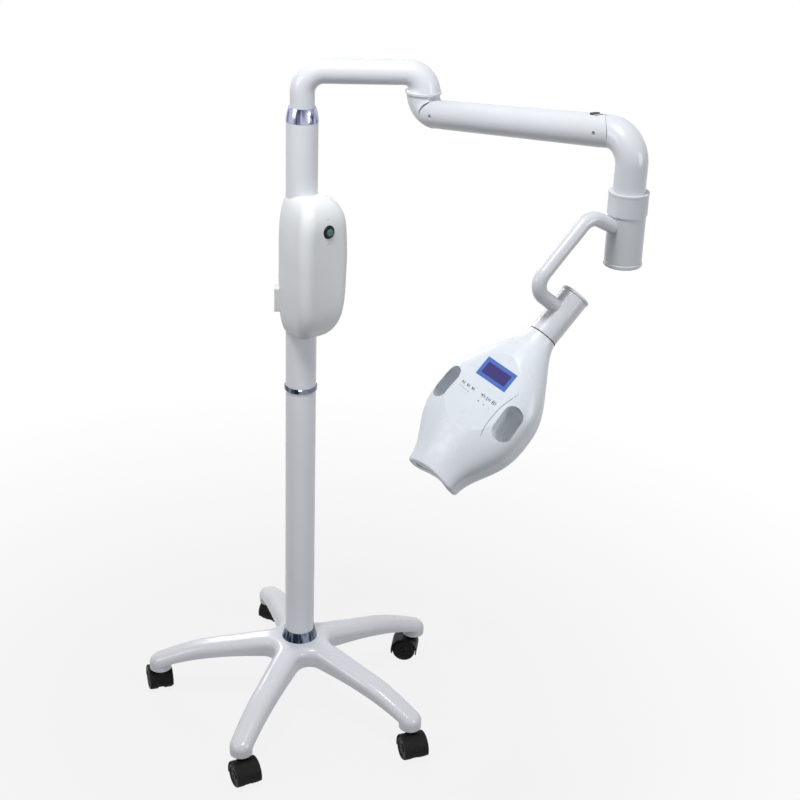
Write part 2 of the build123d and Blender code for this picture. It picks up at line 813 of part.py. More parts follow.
def yoke(radius, sleeve, side):
    """A forked end of the arm round its pivot at the origin; side is the way of the tube from it."""
    rim = side * sleeve
    end = side * (sleeve + yoke_spigot)
    back = -side * (radius + over)
    body = bar_x(radius, min(rim, back), max(rim, back))
    keep = bar_y(radius - knuckle_slack, -radius - over, radius + over)
    keep += block(min(0, rim), max(0, rim), -radius - over, radius + over, -radius - over, radius + over)
    body &= keep
    body += bar_x(arm_near_radius - arm_tube_wall - fit_gap, min(0, end), max(0, end))
    half = tongue_width / 2 + rest_gap
    floor = radius + knuckle_gap - knuckle_slack
    gap = block(min(0, back), max(0, back), -half, half, -radius - over, radius + over)
    body -= gap + bar_y(floor, -half, half)
    body -= bar_x(yoke_bore_radius, min(0, end + side * over), max(0, end + side * over))
    body -= bar_y(arm_pin_radius + press_gap, -radius - over, radius + over)
    return body


def near_yoke():
    return arm_frame * yoke(arm_near_radius, near_sleeve_length, 1)


def far_yoke():
    """The fork that carries the end elbow, with the hole for its plug."""
    body = yoke(arm_far_radius, far_sleeve_length, -1)
    place = -far_sleeve_length + plug_place / 2
    hole = rod(plug_radius + press_gap, arm_far_radius - plug_depth, arm_far_radius + over)
    return far_frame * (body - Pos(place, 0, 0) * hole)


def arm_plug():
    """The round plug on top of the far fork."""
    place = -far_sleeve_length + plug_place / 2
    return far_frame * Pos(place, 0, 0) * rod(
        plug_radius, arm_far_radius - plug_depth, arm_far_radius + plug_proud
    )


def arm_tube():
    """The outer tube of the balance arm, a little wider at its far end."""
    low = near_sleeve_length
    high = arm_pivot_span - far_sleeve_length
    near_end = Plane(origin=(low, 0, 0), z_dir=(1, 0, 0)) * Circle(arm_near_radius)
    far_end = Plane(origin=(high, 0, 0), z_dir=(1, 0, 0)) * Circle(arm_far_radius)
    tube = loft([near_end, far_end])
    return arm_frame * (tube - bar_x(arm_near_radius - arm_tube_wall, low - over, high + over))


def arm_pins():
    """The two pivot pins, fast in the arm's forks."""
    near_half = arm_near_radius - arm_pin_recess
    far_half = arm_far_radius - arm_pin_recess
    near_pin = arm_frame * bar_y(arm_pin_radius, -near_half, near_half)
    far_pin = far_frame * bar_y(arm_pin_radius, -far_half, far_half)
    return Compound(children=[near_pin, far_pin])


def arm_spring():
    """The balance spring in the arm, as the sleeve that its coils fill."""
    drop = yoke_bore_radius - spring_radius - rest_gap
    low = near_sleeve_length + spring_inset
    high = arm_pivot_span - far_sleeve_length - spring_inset
    coil = bar_x(spring_radius, low, high) - bar_x(spring_bore_radius, low - over, high + over)
    return arm_frame * Pos(0, 0, -drop) * coil


def level_rod():
    """The rod beside the spring that keeps the end elbow upright."""
    half = rod_eye_width / 2
    bar = bar_x(rod_radius, 0, arm_pivot_span) & block(
        0, arm_pivot_span, -half, half, -rod_radius, rod_radius
    )
    bar += bar_y(rod_eye_radius, -half, half)
    bar += Pos(arm_pivot_span, 0, 0) * bar_y(rod_eye_radius, -half, half)
    bar -= bar_y(rod_pin_radius + run_gap, -half - over, half + over)
    far_hole = bar_y(rod_pin_radius + rod_far_slack, -half - over, half + over)
    bar -= Pos(arm_pivot_span, 0, 0) * far_hole
    return arm_frame * Pos(0, 0, rod_offset) * bar


def end_elbow():
    """The elbow at the arm's end and the tube that hangs from it."""
    level = Vector(arm_way.X, arm_way.Y, 0).normalized()
    toward = Vector(0, 0, -1)
    ahead = arm_way
    side_way = (toward - ahead * toward.dot(ahead)).normalized()
    start = wrist_top - arm_way * end_reach
    body = bent_bar(start, ahead, side_way, lower_turn, end_bend, arm_far_radius, down_radius)
    foot = rod(down_radius, collar_foot, wrist_top.Z - end_reach)
    body += Pos(wrist_top.X, wrist_top.Y, 0) * foot
    wide = down_length + end_bend * 4
    body &= far_frame * block(tongue_back, wide * 2, -wide, wide, -wide, wide)
    body -= far_frame * ear_space(arm_far_radius, 1)
    body += far_frame * tongue_plate(arm_far_radius, 1)
    body -= far_frame * rod_slot(1)
    bore = rod(wrist_spindle_radius + press_gap, collar_foot - over, collar_foot + wrist_spindle_up)
    return body - Pos(wrist_top.X, wrist_top.Y, 0) * bore


def wrist_collar():
    """The sleeve round the foot of the down tube, with a lip at its top."""
    top = collar_foot + wrist_collar_height
    inner = down_radius + fit_gap
    body = ring(wrist_collar_radius, inner, collar_foot, top)
    body += ring(wrist_collar_radius + collar_lip_proud, inner, top - collar_lip, top)
    return Pos(wrist_top.X, wrist_top.Y, 0) * body


def wrist_spindle():
    """The steel shaft of the wrist and the nut that the sleeve hangs on."""
    well = sleeve_foot + wrist_well_depth
    shaft = rod(wrist_spindle_radius, well - wrist_nut_height - rest_gap, collar_foot + wrist_spindle_up)
    nut = rod(wrist_nut_radius, well - wrist_nut_height - rest_gap, well - rest_gap)
    return Pos(wrist_top.X, wrist_top.Y, 0) * (shaft + nut)


def wrist_sleeve():
    """The turning sleeve under the collar, with the hole for the link's root."""
    top = collar_foot - rest_gap
    body = rod(wrist_sleeve_radius, sleeve_foot, top)
    body -= rod(wrist_spindle_radius + run_gap, sleeve_foot - over, top + over)
    body -= rod(wrist_well_radius, sleeve_foot - over, sleeve_foot + wrist_well_depth)
    body = Pos(wrist_top.X, wrist_top.Y, 0) * body
    root = in_link_plane(*link_root)
    tip = in_link_plane(*link_bend_one)
    hole = Plane(origin=root, z_dir=tip - root) * rod(link_radius + fit_gap, 0, stub_length)
    return body - hole


def wrist_cap():
    """The cap that closes the sleeve from below."""
    cap = rod(wrist_cap_radius, sleeve_foot - wrist_cap_height, sleeve_foot)
    cap = fillet(cap.edges().filter_by(GeomType.CIRCLE), cap_round)
    cap += rod(wrist_well_radius - fit_gap, sleeve_foot - wrist_cap_height / 2, sleeve_foot + cap_plug)
    return Pos(wrist_top.X, wrist_top.Y, 0) * cap


def head_link():
    """The bent tube from the wrist and the knuckle tube that it is welded to."""
    points = [in_link_plane(*p) for p in (link_root, link_bend_one, link_bend_two, link_entry)]
    path = FilletPolyline(*points, radius=[stub_bend, return_bend])
    section = Plane(origin=points[0], z_dir=points[1] - points[0]) * Circle(link_radius)
    pipe = sweep(section, path=path)
    length = knuckle_up + knuckle_down
    shell = bar_x(knuckle_radius, knuckle_cap_height, length)
    body = pipe + knuckle_frame * shell
    body -= knuckle_frame * bar_x(knuckle_radius - knuckle_wall, -over, length - knuckle_bearing)
    body -= knuckle_frame * bar_x(head_spindle_radius + run_gap, 0, length + over)
    return body


def link_cap():
    """The cap on the knuckle's upper end."""
    cap = bar_x(knuckle_cap_radius, 0, knuckle_cap_height)
    cap = fillet(cap.edges().filter_by(GeomType.CIRCLE), cap_round)
    plug = bar_x(knuckle_radius - knuckle_wall - fit_gap, knuckle_cap_height / 2, knuckle_cap_height + cap_plug)
    return knuckle_frame * (cap + plug)


def head_spindle():
    """The head's shaft, running in the knuckle and held by a nut inside it."""
    nut_face = -knuckle_bearing - rest_gap
    shaft = bar_x(head_spindle_radius, nut_face - head_nut_height, rest_gap + joint_washer_height + head_spindle_in)
    nut = bar_x(head_nut_radius, nut_face - head_nut_height, nut_face)
    return head_frame * (shaft + nut)


def joint_washer():
    """The dark washer between the knuckle and the head."""
    low = rest_gap
    body = bar_x(knuckle_radius + joint_washer_proud, low, low + joint_washer_height)
    return head_frame * (body - bar_x(head_spindle_radius + fit_gap, low - over, low + over))


def head_start():
    return rest_gap + joint_washer_height


def head_section(index, inset):
    """One cross-section of the head, a rounded outline with its own front and rear heights."""
    place = head_start() + (head_length - head_start()) * head_s_share[index]
    half = head_half_width * head_width_share[index] - inset
    front = head_front_height * head_front_share[index] - inset
    rear = head_rear_depth * head_rear_share[index] - inset
    points = []
    for number in range(head_section_points):
        angle = radians(360 * number / head_section_points)
        power = 2 / (head_power_share[index] if sin(angle) >= 0 else head_rear_power_share[index])
        side = abs(cos(angle)) ** power
        rise = abs(sin(angle)) ** power
        across = half * side * (1 if cos(angle) > 0 else -1)
        out = rise * (front if sin(angle) > 0 else -rear)
        points.append((place, across, out))
    return make_face(Spline(*points, periodic=True))


def head_form(inset):
    """The solid form of the head, or the space inside it at a wall's thickness."""
    body = loft([head_section(index, inset) for index in range(len(head_s_share))])
    wide = head_half_width * 2
    body &= block(-over, head_length * 2, -wide, wide, -wide, panel_height - inset)
    reach = (mouth_half_width ** 2 + mouth_sag ** 2) / (2 * mouth_sag)
    bite = rod(reach + (mouth_wall if inset else 0), -wide, wide)
    body -= Pos(head_length - mouth_sag + reach, 0, 0) * bite
    if inset:
        return body - block(-over, head_start() + head_spindle_in, -wide, wide, -wide, wide)
    lips = [e for e in body.edges() if e.bounding_box().min.X > head_length - 2 * mouth_sag]
    return fillet(lips, mouth_round)


def grip_hole(extra):
    """One finger hole's prism on the +t side, wider all round by an extra."""
    slot = SlotOverall(grip_length + 2 * extra, grip_width + 2 * extra)
    prism = extrude(slot, head_front_height * 2, both=True)
    return Pos(grip_place, grip_offset, 0) * Rot(0, 0, grip_splay) * prism


def both_grips(extra):
    one = grip_hole(extra)
    return one + mirror(one, Plane.XZ)


def mouth_window(extra):
    """The straight prism of the light's window through the mouth's wall."""
    width = mouth_window_width / 2 + extra
    height = mouth_window_height / 2 + extra
    low = head_length - mouth_sag - mouth_wall - over
    window = block(low, head_length + over, -width, width, -height, height)
    return fillet(window.edges().filter_by(Axis.X), height - fit_gap)


def head_shell(form):
    """The head's wall with its finger holes and the light's window, before it is parted."""
    inner = head_form(head_wall)
    inner -= both_grips(grip_wall)
    shell = form - inner
    shell -= both_grips(0)
    shell -= mouth_window(0)
    shell -= bar_x(head_spindle_radius + fit_gap, -over, head_start() + head_spindle_in + over)
    return shell


def head_front_shell(shell):
    """The front half of the head's case, with the holes for the screen, the keys and the lights."""
    wide = head_half_width * 2
    front = shell & block(-over, head_length + over, -wide, wide, 0, wide)
    pocket = block(
        screen_place - screen_length / 2 - fit_gap,
        screen_place + screen_length / 2 + fit_gap,
        -screen_width / 2 - fit_gap,
        screen_width / 2 + fit_gap,
        panel_height - screen_thickness,
        panel_height + over,
    )
    front -= pocket
    light_way = block(
        screen_place - screen_length / 2 + screen_seat,
        screen_place + screen_length / 2 - screen_seat,
        -screen_width / 2 + screen_seat,
        screen_width / 2 - screen_seat,
        panel_height - head_wall - over / 2,
        panel_height + over,
    )
    front -= light_way
    for offset in key_offsets():
        front -= Pos(key_place, offset, 0) * rod(key_radius + key_hole_gap, head_wall, head_front_height + over)
    for offset in light_offsets():
        front -= Pos(key_place, offset, 0) * light_bar(press_gap, head_wall, head_front_height + over)
    for x_sign in (-1, 1):
        for y_sign in (-1, 1):
            x = board_place + x_sign * (board_length / 2 - post_inset)
            y = y_sign * (board_width / 2 - post_inset)
            front += Pos(x, y, 0) * rod(post_radius, panel_height - board_drop, panel_height - head_wall / 2)
    return head_frame * front


def head_rear_shell(shell, form):
    """The back half of the head's case, with the posts that the heat sink stands on."""
    wide = head_half_width * 2
    rear = shell & block(-over, head_length + over, -wide, wide, -wide, 0)
    for side in (-1, 1):
        y = side * sink_post_fins * sink_fin_pitch
        post = Pos(led_place() - sink_length / 2, y, 0) * rod(post_radius, -wide, -led_board_height / 2)
        rear += post & form
    for number in range(vent_count):
        slot = extrude(SlotOverall(vent_length, vent_width, rotation=90), -wide)
        rear -= Pos(vent_place + number * vent_pitch, 0, -head_rear_depth / 2) * slot
    return head_frame * rear


def key_offsets():
    return [key_first_offset + number * key_pitch for number in range(key_count)]


def light_offsets():
    return [light_first_offset + number * light_pitch for number in range(key_count)]


def screen():
    """The display's window, let into the panel."""
    body = block(
        screen_place - screen_length / 2,
        screen_place + screen_length / 2,
        -screen_width / 2,
        screen_width / 2,
        panel_height - screen_thickness,
        panel_height,
    )
    return head_frame * body


def panel_key(offset):
    """A round push key with the flange that keeps it behind the panel."""
    under = panel_height - head_wall - rest_gap
    cap = rod(key_radius, under - key_flange, panel_height + key_proud)
    rim = [e for e in cap.edges().filter_by(GeomType.CIRCLE) if e.center().Z > panel_height]
    cap = fillet(rim, key_proud / 2)
    cap += rod(key_flange_radius, under - key_flange, under)
    return head_frame * Pos(key_place, offset, 0) * cap


def light_bar(extra, low, high):
    """A short leaning slot shape between two heights, wider all round by an extra."""
    slot = SlotOverall(light_length + 2 * extra, light_width + 2 * extra)
    return Pos(0, 0, low) * Rot(0, 0, light_lean) * extrude(slot, high - low)


def indicator_lights():
    """The three small lenses beside the keys."""
    lenses = []
    for offset in light_offsets():
        lens = light_bar(0, panel_height - head_wall - light_foot, panel_height + light_proud)
        lenses.append(head_frame * Pos(key_place, offset, 0) * lens)
    return Compound(children=lenses)


def control_board():
    """The circuit board on posts under the panel."""
    top = panel_height - board_drop
    plate = block(
        board_place - board_length / 2,
        board_place + board_length / 2,
        -board_width / 2,
        board_width / 2,
        top - board_thickness,
        top,
    )
    return head_frame * plate


def light_lens():
    """The window that the lamp shines through, curved like the mouth."""
    reach = (mouth_half_width ** 2 + mouth_sag ** 2) / (2 * mouth_sag)
    front = reach + lens_recess
    shell = ring(front + lens_thickness, front, -head_front_height, head_front_height)
    lens = (Pos(head_length - mouth_sag + reach, 0, 0) * shell) & mouth_window(-lens_gap)
    return head_frame * lens


def led_place():
    """The front face of the lamp's board, clear behind the mouth's wall."""
    return head_length - mouth_sag - mouth_wall - led_board_gap


def led_board():
    """The lamp's board with its rows of light chips."""
    face = led_place()
    half = mouth_window_width / 2
    body = block(face - led_board_length, face, -half, half, -led_board_height / 2, led_board_height / 2)
    for column in range(led_columns):
        for row in range(led_rows):
            y = (column - (led_columns - 1) / 2) * led_pitch
            z = (row - (led_rows - 1) / 2) * led_pitch
            body += Pos(0, y, z) * bar_x(led_radius, face - led_board_length / 2, face + led_height)
    return head_frame * body


def heat_sink():
    """The finned block behind the lamp's board."""
    face = led_place() - led_board_length
    half = mouth_window_width / 2
    body = block(face - sink_base, face, -half, half, -led_board_height / 2, led_board_height / 2)
    for number in range(sink_fin_count):
        y = -half + sink_fin / 2 + number * sink_fin_pitch
        body += block(
            face - sink_length,
            face - sink_base / 2,
            y - sink_fin / 2,
            y + sink_fin / 2,
            -led_board_height / 2,
            led_board_height / 2,
        )
    return head_frame * body


def box_section(index, inset):
    """One level section of the power box: a round back and a wide front with round corners."""
    half = box_half_width * box_width_share[index] - inset
    depth = box_depth * box_depth_share[index] - inset
    back = box_back_radius * box_back_share[index] - inset
    corner = box_corner_radius * box_corner_share[index] - inset
    spread = half - corner
    rise = depth - corner
    away = sqrt(spread ** 2 + rise ** 2)
    lean = acos((back - corner) / away)
    base = radians(90) - acos(rise / away)
    turn = base - lean
    right_low = (back * cos(turn), back * sin(turn))
    right_high = (spread + corner * cos(turn), rise + corner * sin(turn))
    middle = (radians(90) + turn) / 2
    right_mid = (spread + corner * cos(middle), rise + corner * sin(middle))
    left = [(-x, y) for x, y in (right_low, right_high, right_mid)]
    height = box_height * box_z_share[index]
    if inset:
        height = inset + (box_height - 2 * inset) * box_z_share[index]
    outline = [
        ThreePointArc(left[0], (0, -back), right_low),
        Line(right_low, right_high),
        ThreePointArc(right_high, right_mid, (spread, depth)),
        Line((spread, depth), (-spread, depth)),
        ThreePointArc((-spread, depth), left[2], left[1]),
        Line(left[1], left[0]),
    ]
    return Pos(0, 0, height) * make_face(outline)


def box_form(inset):
    return loft([box_section(index, inset) for index in range(len(box_z_share))])


def box_shell():
    """The power box's wall, with a sleeve round the column, before it is parted."""
    bore = column_radius + box_bore_gap
    inner = box_form(box_wall) - rod(bore + box_sleeve, -over, box_height + over)
    return box_form(0) - inner - rod(bore, -over, box_height + over)


def box_front_cover(shell):
    """The front half of the power box, with the switch's hole."""
    wide = box_depth * 2
    front = shell & block(-wide, wide, 0, wide, -over, box_height + over)
    hole = bar_y(bezel_barrel_radius + fit_gap, box_depth / 2, box_depth + over)
    hole += bar_y(bezel_radius + fit_gap, box_depth - bezel_seat, box_depth + over)
    return box_frame * (front - Pos(0, 0, switch_place) * hole)


def box_rear_cover(shell):
    """The back half of the power box, with the hole for the mains inlet."""
    wide = box_depth * 2
    rear = shell & block(-wide, wide, -wide, 0, -over, box_height + over)
    for number in range(box_vent_count):
        slot = Plane.XZ * extrude(SlotOverall(box_vent_length, box_vent_width), box_depth)
        height = box_vent_place + number * box_vent_pitch
        rear -= Pos(0, -(box_back_radius - box_wall - box_bore_gap), height) * slot
    rear = box_frame * rear
    half = inlet_width / 2 + fit_gap
    tall = inlet_height / 2 + fit_gap
    middle = box_foot + inlet_place
    hole = block(-box_depth, -(column_radius + box_bore_gap + box_sleeve), -half, half, middle - tall, middle + tall)
    return rear - hole


def switch_bezel():
    """The black rim and barrel of the mains switch."""
    front = box_depth
    rim = bar_y(bezel_radius, front - bezel_seat, front + bezel_proud)
    edge = [e for e in rim.edges().filter_by(GeomType.CIRCLE) if e.center().Y > front + bezel_proud / 2]
    rim = fillet(edge, bezel_round)
    body = rim + bar_y(bezel_barrel_radius, front - bezel_barrel, front + bezel_proud / 2)
    floor = front + bezel_proud + button_proud - button_length - button_travel - rest_gap
    body -= bar_y(button_radius + button_gap, floor, front + over)
    return box_frame * Pos(0, 0, switch_place) * body


def power_button():
    """The round green button of the mains switch."""
    end = box_depth + bezel_proud + button_proud
    body = bar_y(button_radius, end - button_length, end)
    edge = [e for e in body.edges().filter_by(GeomType.CIRCLE) if e.center().Y > end - button_round]
    body = fillet(edge, button_round)
    return box_frame * Pos(0, 0, switch_place) * body


def power_inlet():
    """The mains inlet: a fuse drawer above a three-prong socket."""
    outer = -(box_back_radius + inlet_proud)
    middle = box_foot + inlet_place
    body = block(outer, outer + inlet_depth, -inlet_width / 2, inlet_width / 2,
                 middle - inlet_height / 2, middle + inlet_height / 2)
    body = fillet(body.edges().filter_by(Axis.X), inlet_round)
    low = middle - socket_drop
    mouth = block(outer - over, outer + socket_recess, -socket_width / 2, socket_width / 2,
                  low - socket_height / 2, low + socket_height / 2)
    body -= mouth
    for number in (-1, 0, 1):
        z = low + number * prong_pitch
        y = prong_rise * (1 if number == 0 else -1) / 2
        body += block(
            outer + socket_recess - prong_length,
            outer + socket_recess + prong_thickness,
            y - prong_width / 2,
            y + prong_width / 2,
            z - prong_thickness / 2,
            z + prong_thickness / 2,
        )
    top = middle + inlet_height / 2 - inlet_round
    frame = block(outer - over, outer + fuse_groove, -fuse_width / 2, fuse_width / 2, top - fuse_height, top)
    core = block(
        outer - over,
        outer + fuse_groove,
        -fuse_width / 2 + fuse_groove,
        fuse_width / 2 - fuse_groove,
        top - fuse_height + fuse_groove,
        top - fuse_groove,
    )
    return body - (frame - core)


def power_supply():
    """The mains transformer that stands before the column inside the box."""
    low = column_radius + box_bore_gap + box_sleeve + power_core_gap
    half = power_core_width / 2
    body = block(-half, half, low, low + power_core_depth, power_core_place, power_core_place + power_core_height)
    return box_frame * body


head_solid = head_form(0)
head_case = head_shell(head_solid)
box_case = box_shell()

nodes = {
    "star_base": star_base(),
    "base_bolt": base_bolt(),
    "caster_sleeves": caster_sleeves(),
    "caster_stems": caster_stems(),
    "lower_collar": lower_collar(),
    "lower_column": lower_column(),
    "column_joiner": column_joiner(),
    "mid_ring": mid_ring(),
    "upper_column": upper_column(),
    "top_collar": top_collar(),
    "swivel_bush": swivel_bush(),
    "box_front_cover": box_front_cover(box_case),
    "box_rear_cover": box_rear_cover(box_case),
    "switch_bezel": switch_bezel(),
    "power_button": power_button(),
    "power_inlet": power_inlet(),
    "power_supply": power_supply(),
    "gooseneck_pipe": gooseneck_pipe(),
    "upper_elbow": upper_elbow(),
    "elbow_spindle": elbow_spindle(),
    "lower_elbow": lower_elbow(),
    "near_yoke": near_yoke(),
    "arm_tube": arm_tube(),
    "far_yoke": far_yoke(),
    "arm_plug": arm_plug(),
    "arm_pins": arm_pins(),
    "arm_spring": arm_spring(),
    "level_rod": level_rod(),
    "end_elbow": end_elbow(),
    "wrist_collar": wrist_collar(),
    "wrist_spindle": wrist_spindle(),
    "wrist_sleeve": wrist_sleeve(),
    "wrist_cap": wrist_cap(),
    "head_link": head_link(),
    "link_cap": link_cap(),
    "head_spindle": head_spindle(),
    "joint_washer": joint_washer(),
    "head_front_shell": head_front_shell(head_case),
    "head_rear_shell": head_rear_shell(head_case, head_solid),
    "screen": screen(),
    "control_board": control_board(),
    "indicator_lights": indicator_lights(),
    "light_lens": light_lens(),
    "led_board": led_board(),
    "heat_sink": heat_sink(),
}
for number in range(leg_count):
    nodes[f"caster_hood_{number + 1}"] = caster_place(number) * caster_hood()
    nodes[f"caster_wheels_{number + 1}"] = caster_place(number) * caster_wheels()
for number, offset in enumerate(key_offsets()):
    nodes[f"panel_key_{number + 1}"] = panel_key(offset)

for name, shape in nodes.items():
    export_step(shape, f"parts/{name}.step")

# The places that the joints and mounts are written down from
print("near pivot", near_pivot, "far pivot", far_pivot, "side", arm_side)
print("wrist", wrist_top, "collar foot", collar_foot, "sleeve foot", sleeve_foot)
print("head joint", head_frame.origin, "way", head_way, "panel", panel_way, "across", head_frame.y_dir)
print("elbow foot", elbow_foot, "neck axis", neck_axis, "column end", column_end)
print("box foot", box_foot, "way", box_way)
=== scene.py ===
import json
import math

import bmesh
import bpy
from mathutils import Matrix, Vector


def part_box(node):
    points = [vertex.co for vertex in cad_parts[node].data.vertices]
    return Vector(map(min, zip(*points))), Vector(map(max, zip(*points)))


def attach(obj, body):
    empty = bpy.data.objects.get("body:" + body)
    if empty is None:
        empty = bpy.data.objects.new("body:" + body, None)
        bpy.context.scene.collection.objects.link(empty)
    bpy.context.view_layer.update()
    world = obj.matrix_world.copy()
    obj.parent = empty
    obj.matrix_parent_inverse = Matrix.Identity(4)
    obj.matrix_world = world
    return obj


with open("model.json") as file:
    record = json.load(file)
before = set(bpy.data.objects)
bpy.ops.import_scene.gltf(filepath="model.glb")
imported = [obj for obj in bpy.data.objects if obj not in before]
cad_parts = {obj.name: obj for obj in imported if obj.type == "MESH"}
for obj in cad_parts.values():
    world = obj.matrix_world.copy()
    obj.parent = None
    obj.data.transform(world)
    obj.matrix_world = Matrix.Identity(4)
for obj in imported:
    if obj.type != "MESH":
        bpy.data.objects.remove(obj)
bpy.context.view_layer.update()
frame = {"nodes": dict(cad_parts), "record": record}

record = frame["record"]
joints = {joint["name"]: joint for joint in record["behaviour"]["joints"]}
slot_of = {entry["node"]: entry["material_slot"] for entry in record["subparts"]}
materials = {}


# Objects and nodes

def add_object(name, data):
    """A new object in the scene."""
    thing = bpy.data.objects.new(name, data)
    bpy.context.scene.collection.objects.link(thing)
    return thing


def empty_nodes(owner):
    """The cleared nodes of a material or of the world, and their links."""
    owner.use_nodes = True
    owner.node_tree.nodes.clear()
    return owner.node_tree.nodes, owner.node_tree.links


def map_range(nodes, links, value, start, end, low, high):
    """Maps a value from one range, start to end, to another, low to high."""
    ranged = nodes.new("ShaderNodeMapRange")
    for socket, number in (("From Min", start), ("From Max", end), ("To Min", low), ("To Max", high)):
        ranged.inputs[socket].default_value = number
    links.new(value, ranged.inputs["Value"])
    return ranged.outputs["Result"]


# Finishes: every material is made of nodes, with patterns in object space

middle_start = 0.35             # most of a noise pattern lies between these values
middle_end = 0.65


class Finish:
    """A material with its shader, kept by name, and the patterns that vary it."""

    def __init__(self, name):
        material = bpy.data.materials.new(name)
        self.nodes, self.links = empty_nodes(material)
        output = self.nodes.new("ShaderNodeOutputMaterial")
        self.shader = self.nodes.new("ShaderNodeBsdfPrincipled")
        self.place = self.nodes.new("ShaderNodeTexCoord")
        self.links.new(self.shader.outputs["BSDF"], output.inputs["Surface"])
        materials[name] = material

    def noise(self, scale, detail, stretch=None):
        """A noise pattern, stretched along an axis where asked."""
        source = self.place.outputs["Object"]
        if stretch:
            mapping = self.nodes.new("ShaderNodeMapping")
            mapping.inputs["Scale"].default_value = stretch
            self.links.new(source, mapping.inputs["Vector"])
            source = mapping.outputs["Vector"]
        texture = self.nodes.new("ShaderNodeTexNoise")
        texture.inputs["Scale"].default_value = scale
        texture.inputs["Detail"].default_value = detail
        self.links.new(source, texture.inputs["Vector"])
        return texture.outputs["Fac"]

    def colour(self, pattern, first, second, start=middle_start, end=middle_end):
        """Lets the colour drift from one to another with a pattern."""
        mix = self.nodes.new("ShaderNodeMix")
        mix.data_type = "RGBA"
        mix.inputs["A"].default_value = (*first, 1)
        mix.inputs["B"].default_value = (*second, 1)
        factor = map_range(self.nodes, self.links, pattern, start, end, 0.0, 1.0)
        self.links.new(factor, mix.inputs["Factor"])
        self.links.new(mix.outputs["Result"], self.shader.inputs["Base Color"])

    def roughness(self, pattern, low, high):
        """Lets the roughness vary with a pattern."""
        amount = map_range(self.nodes, self.links, pattern, middle_start, middle_end, low, high)
        self.links.new(amount, self.shader.inputs["Roughness"])

    def relief(self, pattern, depth):
        """Raises the surface by a pattern, to a depth in metres."""
        bump = self.nodes.new("ShaderNodeBump")
        bump.inputs["Distance"].default_value = depth
        bump.inputs["Strength"].default_value = 1.0
        self.links.new(pattern, bump.inputs["Height"])
        self.links.new(bump.outputs["Normal"], self.shader.inputs["Normal"])

    def even(self, values):
        """Sets what is the same all over."""
        for socket, value in values.items():
            self.shader.inputs[socket].default_value = value


def shade(colour, amount):
    """A colour made darker or lighter."""
    return tuple(min(1.0, channel * amount) for channel in colour)


def enamel(name, colour, rough):
    """Sprayed gloss enamel: broad tone drift, a slight orange peel and smeared patches."""
    finish = Finish(name)
    finish.colour(finish.noise(scale=5.0, detail=4), shade(colour, 0.972), shade(colour, 1.015))
    finish.roughness(finish.noise(scale=26.0, detail=5), rough - 0.06, rough + 0.09)
    finish.relief(finish.noise(scale=420.0, detail=2), depth=0.00005)
    finish.even({"Coat Weight": 0.35, "Coat Roughness": 0.12})


def moulding(name, colour, rough, grain=0.00003, coat=0.0):
    """Injection-moulded plastic: fine spark grain with faint flow shading."""
    finish = Finish(name)
    flow = finish.noise(scale=9.0, detail=5, stretch=(1, 1, 0.35))
    finish.colour(flow, shade(colour, 0.965), shade(colour, 1.015))
    finish.roughness(finish.noise(scale=60.0, detail=4), rough - 0.05, rough + 0.08)
    finish.relief(finish.noise(scale=900.0, detail=3), depth=grain)
    finish.even({"IOR": 1.47, "Coat Weight": coat, "Coat Roughness": 0.15})


def metal(name, colour, rough):
    """Bare metal with polishing marks and tarnish drift."""
    finish = Finish(name)
    finish.colour(finish.noise(scale=30.0, detail=4), shade(colour, 0.86), shade(colour, 1.06))
    polish = finish.noise(scale=90.0, detail=4)
    finish.roughness(polish, rough * 0.7, rough * 1.5)
    finish.relief(polish, depth=0.00002)
    finish.even({"Metallic": 1.0})


def chrome(name, dark, bright):
    """Dark polished plating with a faint haze, its colour painted in upright bands of dark and bright
    reflection.
    """
    finish = Finish(name)
    # Painted reflections: dark and bright upright bands in the base colour
    reflection_bands = finish.noise(scale=75.0, detail=2, stretch=(1, 1, 0.01))
    finish.colour(reflection_bands, dark, bright, start=0.42, end=0.60)
    finish.roughness(finish.noise(scale=120.0, detail=4), 0.08, 0.2)
    finish.relief(finish.noise(scale=300.0, detail=2), depth=0.000003)
    finish.even({"Metallic": 1.0})


def dark_plastic(name, colour, rough, worn, scale=700.0, grain=0.00004):
    """Moulded plastic with grain, and scuffs of a paler colour where it rubs."""
    finish = Finish(name)
    finish.colour(finish.noise(scale=110.0, detail=6), colour, worn, start=0.56, end=0.74)
    finish.roughness(finish.noise(scale=160.0, detail=4), rough - 0.08, rough + 0.12)
    finish.relief(finish.noise(scale=scale, detail=3), depth=grain)
    finish.even({"Specular IOR Level": 0.12})


def clear(name, colour, rough, weight):
    """A tinted clear moulding with a faint frost."""
    finish = Finish(name)
    finish.colour(finish.noise(scale=240.0, detail=4), shade(colour, 0.94), shade(colour, 1.04))
    finish.roughness(finish.noise(scale=90.0, detail=3), rough * 0.7, rough * 1.3)
    finish.relief(finish.noise(scale=1200.0, detail=2), depth=0.00001)
    finish.even({"Transmission Weight": weight, "IOR": 1.49})


fine_grain = 0.00001            # the depth in metres and the scale of the grain on smooth mouldings
smooth_scale = 400.0

